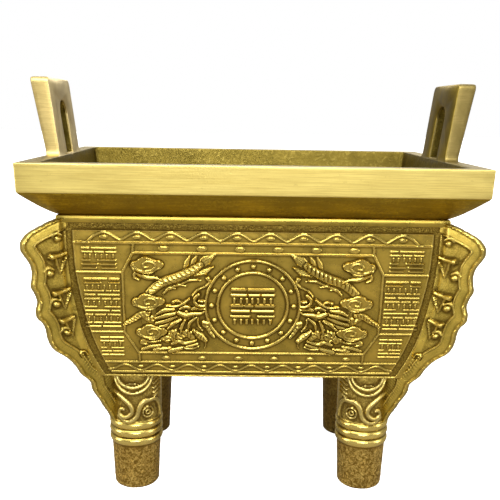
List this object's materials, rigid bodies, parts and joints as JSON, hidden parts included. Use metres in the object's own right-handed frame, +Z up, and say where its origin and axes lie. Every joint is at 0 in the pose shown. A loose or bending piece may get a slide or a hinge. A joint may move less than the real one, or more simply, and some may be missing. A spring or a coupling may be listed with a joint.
{
  "type": "square ding",
  "caption": "Rectangular ding: an open four-legged cast vessel with a broad rim, upright slotted handles, scalloped corner flanges and low relief on its faces.",
  "frame": {"origin": "middle of the rectangle under the four feet, on the surface that it stands on", "axes": "+Z up, +X to the right along the long side, the carved front faces -Y"},
  "size_m": [0.234, 0.1588, 0.2202],
  "materials": {
    "polished_brass": "cast brass, satin on the rim and handles, bright on the raised carving, darker in the recesses"
  },
  "bodies": {
    "root": {"square_ding": "polished_brass"}
  },
  "joints": []
}
